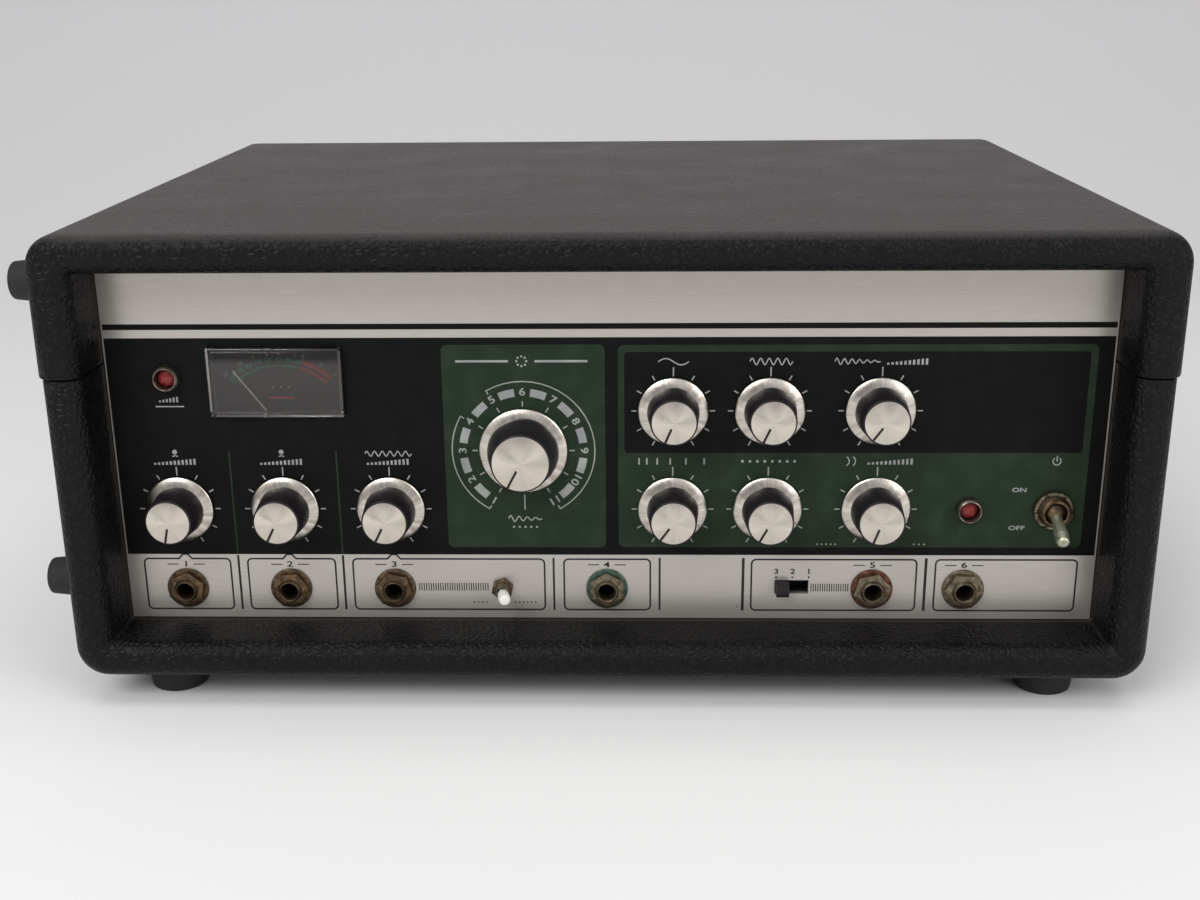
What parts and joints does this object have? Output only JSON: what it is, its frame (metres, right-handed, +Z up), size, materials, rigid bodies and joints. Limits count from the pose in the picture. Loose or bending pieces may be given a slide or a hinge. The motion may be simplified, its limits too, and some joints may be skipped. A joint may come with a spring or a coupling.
{
  "type": "tape echo unit",
  "caption": "Tape echo unit: vinyl covered case with lift-off lid, recessed control panel of knobs, jacks, meter and switches, and a tape deck with its drive inside.",
  "frame": {"origin": "middle of the box's footprint, on the table that the feet stand on", "axes": "+X to the right and +Y to the rear as the panel is read from the front, +Z up"},
  "size_m": [0.435, 0.305, 0.185],
  "materials": {
    "vinyl": "black grained vinyl covering",
    "panel_aluminium": "brushed satin, silk-screened black and green",
    "chassis_steel": "zinc plated, dull",
    "black_steel": "black stove enamel",
    "foot_rubber": "matt black",
    "strap": "black moulded strap",
    "end_caps": "dull chrome plate",
    "knob": "black body with spun skirt and turned aluminium cap",
    "nickel": "tarnished nickel over brass",
    "switch_metal": "plated steel",
    "power_bat": "cloudy plated bat",
    "white_sleeve": "white plastic sleeve",
    "black_plastic": "black moulding",
    "dial": "dark dial with green and red arcs",
    "needle": "pale enamel",
    "clear_acrylic": "clear acrylic",
    "lamp_red": "red transparent moulding",
    "tape": "brown oxide tape",
    "head_steel": "polished head cans",
    "felt": "felt pads on sprung arms",
    "bronze": "turned bronze",
    "roller_rubber": "ground rubber",
    "board": "phenolic board with parts"
  },
  "bodies": {
    "cabinet": {"lower_cabinet": "vinyl", "front_panel": "panel_aluminium", "sub_panel": "chassis_steel", "chassis_tray": "chassis_steel", "rear_panel": "black_steel", "base_feet": "foot_rubber", "side_feet_lower": "foot_rubber", "handle_strap": "strap", "handle_caps": "end_caps", "pot_bodies": "switch_metal", "mode_switch": "switch_metal", "panel_nuts": "nickel", "meter_case": "black_plastic", "meter_scale": "dial", "meter_lens": "clear_acrylic", "lamp_bezels": "switch_metal", "lamp_lenses": "lamp_red", "jack_sockets": "nickel", "jack_nuts": "nickel", "power_switch": "switch_metal", "mini_switch": "switch_metal", "slide_switch": "switch_metal", "deck_plate": "chassis_steel", "tape_tank": "chassis_steel", "tank_cover": "clear_acrylic", "tank_screws": "nickel", "tape_loop": "tape", "head_mount": "chassis_steel", "tape_heads": "head_steel", "guide_posts": "head_steel", "felt_pads": "felt", "capstan_bearing": "bronze", "motor": "switch_metal", "drive_belt": "roller_rubber", "solenoid": "switch_metal", "transformer": "switch_metal", "circuit_boards": "board", "reverb_tank": "chassis_steel", "rear_fittings": "black_plastic"},
    "lid": {"lid_shell": "vinyl", "side_feet_upper": "foot_rubber", "lid_pins": "chassis_steel"},
    "knob_mic_one": {"knob_mic_one": "knob"},
    "knob_mic_two": {"knob_mic_two": "knob"},
    "knob_instrument": {"knob_instrument": "knob"},
    "knob_bass": {"knob_bass": "knob"},
    "knob_treble": {"knob_treble": "knob"},
    "knob_reverb": {"knob_reverb": "knob"},
    "knob_rate": {"knob_rate": "knob"},
    "knob_intensity": {"knob_intensity": "knob"},
    "knob_echo": {"knob_echo": "knob"},
    "knob_mode": {"knob_mode": "knob"},
    "power_lever": {"power_lever": "power_bat"},
    "mini_lever": {"mini_lever": "white_sleeve"},
    "slide_lever": {"slide_lever": "black_plastic"},
    "meter_needle": {"meter_needle": "needle"},
    "capstan": {"capstan": "head_steel"},
    "motor_pulley": {"motor_pulley": "bronze"},
    "pinch_arm": {"pinch_arm": "chassis_steel"},
    "pinch_roller": {"pinch_roller": "roller_rubber"}
  },
  "joints": [
    {"name": "lid_lift", "type": "slide", "parent": "cabinet", "child": "lid", "axis": [0, 0, 1], "range_m": [0, 0.12]},
    {"name": "turn_mic_one", "type": "hinge", "parent": "cabinet", "child": "knob_mic_one", "pos_m": [-0.1671, -0.1265, 0.0735], "axis": [0, 1, 0], "range_deg": [0, 300]},
    {"name": "turn_mic_two", "type": "hinge", "parent": "cabinet", "child": "knob_mic_two", "pos_m": [-0.1256, -0.1265, 0.0735], "axis": [0, 1, 0], "range_deg": [0, 300]},
    {"name": "turn_instrument", "type": "hinge", "parent": "cabinet", "child": "knob_instrument", "pos_m": [-0.0841, -0.1265, 0.0735], "axis": [0, 1, 0], "range_deg": [0, 300]},
    {"name": "turn_bass", "type": "hinge", "parent": "cabinet", "child": "knob_bass", "pos_m": [0.0257, -0.1265, 0.1132], "axis": [0, 1, 0], "range_deg": [0, 300]},
    {"name": "turn_treble", "type": "hinge", "parent": "cabinet", "child": "knob_treble", "pos_m": [0.0624, -0.1265, 0.1132], "axis": [0, 1, 0], "range_deg": [0, 300]},
    {"name": "turn_reverb", "type": "hinge", "parent": "cabinet", "child": "knob_reverb", "pos_m": [0.1042, -0.1265, 0.1132], "axis": [0, 1, 0], "range_deg": [0, 300]},
    {"name": "turn_rate", "type": "hinge", "parent": "cabinet", "child": "knob_rate", "pos_m": [0.0257, -0.1265, 0.0735], "axis": [0, 1, 0], "range_deg": [0, 300]},
    {"name": "turn_intensity", "type": "hinge", "parent": "cabinet", "child": "knob_intensity", "pos_m": [0.0624, -0.1265, 0.0735], "axis": [0, 1, 0], "range_deg": [0, 300]},
    {"name": "turn_echo", "type": "hinge", "parent": "cabinet", "child": "knob_echo", "pos_m": [0.1042, -0.1265, 0.0735], "axis": [0, 1, 0], "range_deg": [0, 300]},
    {"name": "turn_mode", "type": "hinge", "parent": "cabinet", "child": "knob_mode", "pos_m": [-0.0317, -0.1265, 0.0974], "axis": [0, 1, 0], "range_deg": [0, 330]},
    {"name": "flip_power", "type": "hinge", "parent": "cabinet", "child": "power_lever", "pos_m": [0.1722, -0.1295, 0.0735], "axis": [-1, 0, 0], "range_deg": [0, 50]},
    {"name": "flip_mini", "type": "hinge", "parent": "cabinet", "child": "mini_lever", "pos_m": [-0.0414, -0.1295, 0.04], "axis": [0, 0, -1], "range_deg": [0, 24]},
    {"name": "slide_level", "type": "slide", "parent": "cabinet", "child": "slide_lever", "axis": [1, 0, 0], "range_m": [0, 0.0075]},
    {"name": "swing_needle", "type": "hinge", "parent": "cabinet", "child": "meter_needle", "pos_m": [-0.1253, -0.1205, 0.1042], "axis": [0, 1, 0], "range_deg": [0, 74], "stiffness_Nm_per_rad": 0.0004, "springref_deg": -11.46},
    {"name": "spin_capstan", "type": "hinge", "parent": "cabinet", "child": "capstan", "pos_m": [0.118, -0.04845, 0.134], "axis": [0, 0, 1], "continuous": true},
    {"name": "spin_motor", "type": "hinge", "parent": "cabinet", "child": "motor_pulley", "pos_m": [0.118, 0.0695, 0.134], "axis": [0, 0, 1], "continuous": true},
    {"name": "swing_pinch_arm", "type": "hinge", "parent": "cabinet", "child": "pinch_arm", "pos_m": [0.146, -0.08205, 0.136], "axis": [0, 0, 1], "range_deg": [0, 8], "stiffness_Nm_per_rad": 0.3, "springref_deg": -5.73},
    {"name": "spin_pinch_roller", "type": "hinge", "parent": "pinch_arm", "child": "pinch_roller", "pos_m": [0.118, -0.06455, 0.136], "axis": [0, 0, 1], "continuous": true}
  ],
  "couplings": [
    {"joint": "spin_motor", "follows": "spin_capstan", "ratio": 6.6667},
    {"joint": "spin_pinch_roller", "follows": "spin_capstan", "ratio": -0.25}
  ]
}
